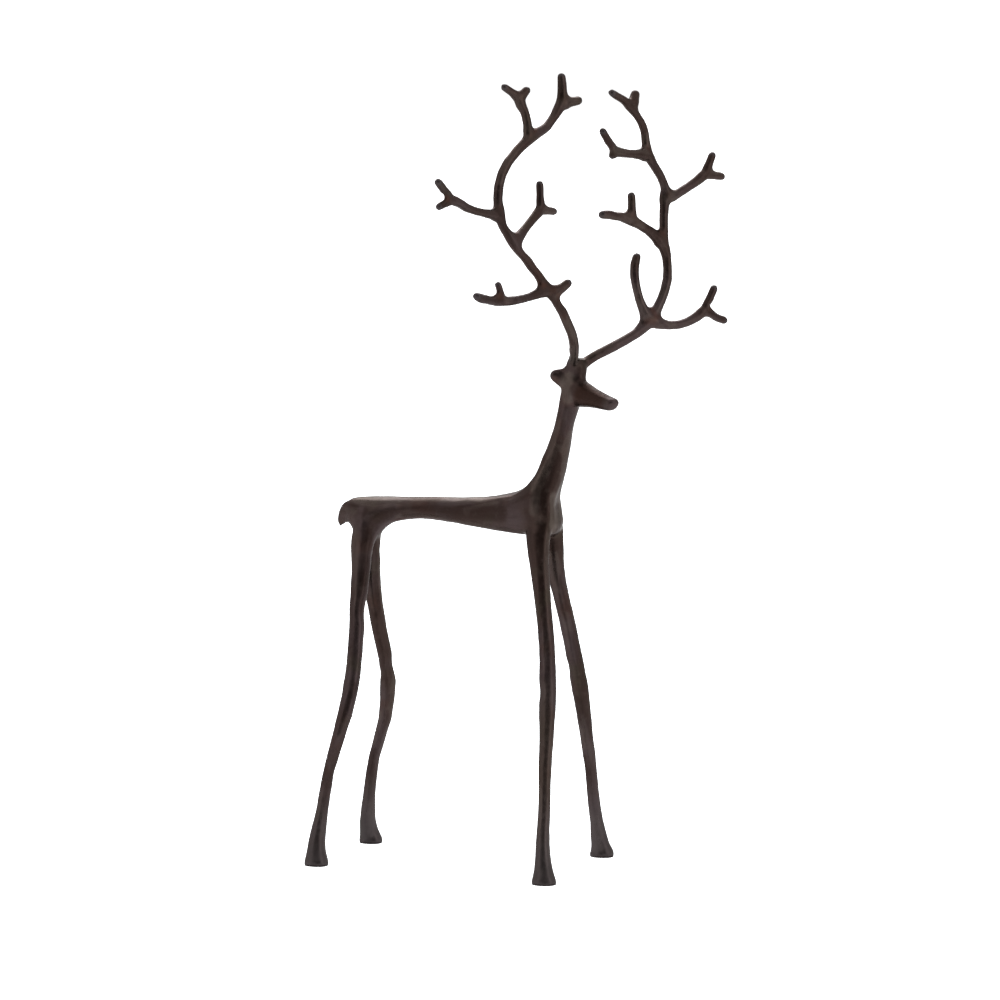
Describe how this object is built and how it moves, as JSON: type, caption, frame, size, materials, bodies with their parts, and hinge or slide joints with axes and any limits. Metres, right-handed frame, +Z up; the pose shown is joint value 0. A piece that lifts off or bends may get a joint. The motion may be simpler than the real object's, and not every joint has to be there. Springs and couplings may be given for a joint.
{
  "type": "animal sculpture",
  "caption": "Slim standing reindeer cast in dark bronze, with long stick legs, flared hooves, a hooked tail, a turned head and tall twig-like antlers.",
  "frame": {"origin": "middle of the overall box, on the floor that the soles stand on", "axes": "+X forward, the way the body faces; +Y to the animal's left; +Z up"},
  "size_m": [0.2956, 0.2736, 0.6204],
  "materials": {
    "bronze": "satin dark brown patina"
  },
  "bodies": {
    "root": {"reindeer": "bronze"}
  },
  "joints": []
}
